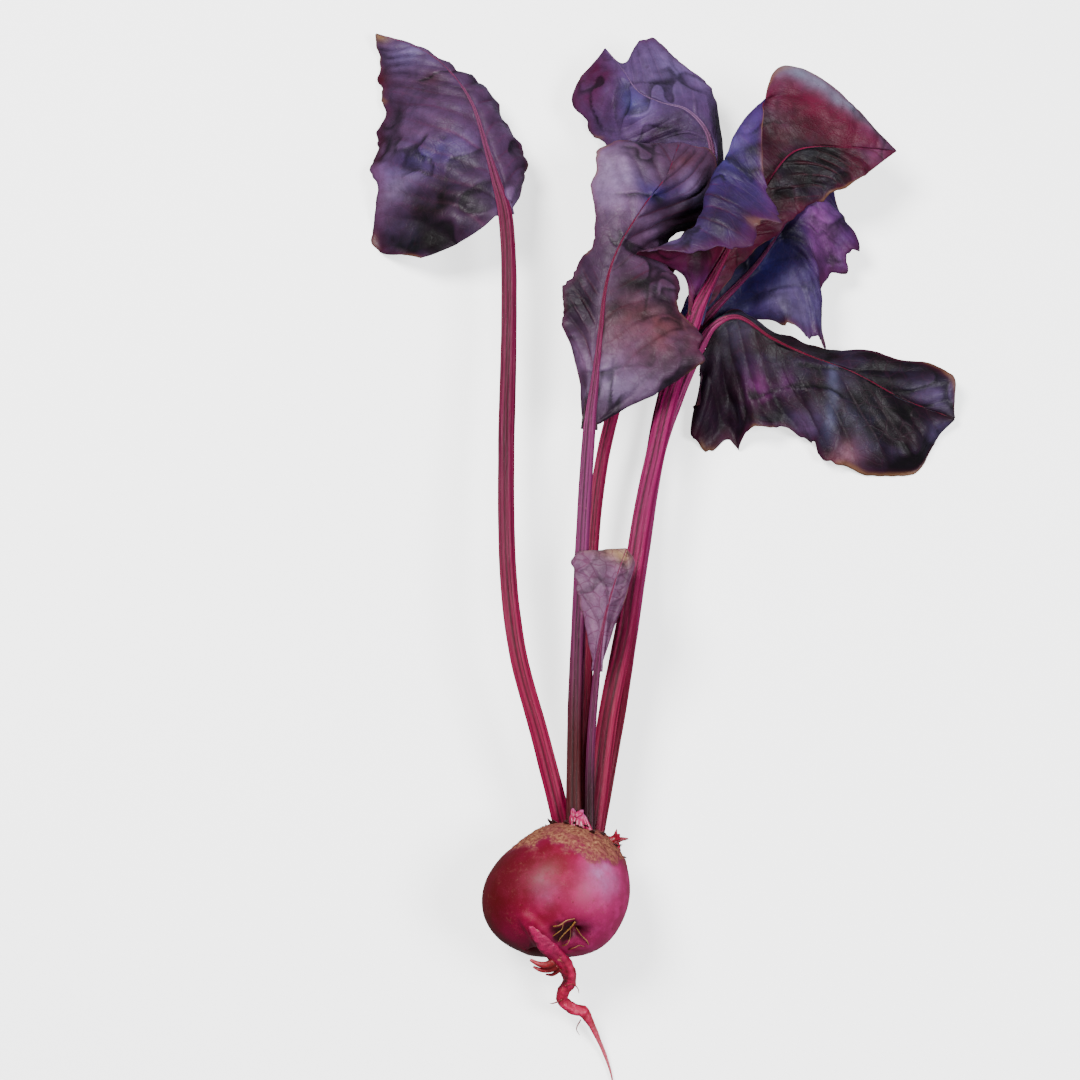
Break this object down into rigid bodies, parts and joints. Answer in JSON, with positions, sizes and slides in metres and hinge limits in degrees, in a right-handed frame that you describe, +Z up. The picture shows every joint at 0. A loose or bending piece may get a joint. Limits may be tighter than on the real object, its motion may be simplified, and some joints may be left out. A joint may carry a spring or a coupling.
{
  "type": "beetroot",
  "caption": "Whole beetroot as pulled: round root with a thin crooked tail, lying on its side with its ribbed stalks and waved leaves spread out.",
  "frame": {"origin": "centre of the small flat spot that the root rests on, on the surface", "axes": "+Z up from the surface, +Y from the root towards the leaves, +X to the right as seen from the root, looking along the leaves"},
  "size_m": [0.311, 0.568, 0.0716],
  "materials": {
    "root": "smooth crimson skin with a bluish bloom and a brown corky cap round the crown",
    "bud": "shiny bright pink",
    "stalk": "satin crimson with fine lengthwise ribs",
    "blade": "dusky purple leaf with a soft grey bloom and crimson veins",
    "young_blade": "pale mauve leaf with dark purple veins"
  },
  "bodies": {
    "root": {"root": "root", "bud": "bud", "stub": "stalk", "stalk_left": "stalk", "stalk_front": "stalk", "stalk_top": "stalk", "stalk_upper_right": "stalk", "stalk_right": "stalk", "stalk_low": "stalk", "stalk_young": "stalk", "blade_left": "blade", "blade_front": "blade", "blade_top": "blade", "blade_upper_right": "blade", "blade_right": "blade", "blade_low": "blade", "blade_young": "young_blade"}
  },
  "joints": []
}
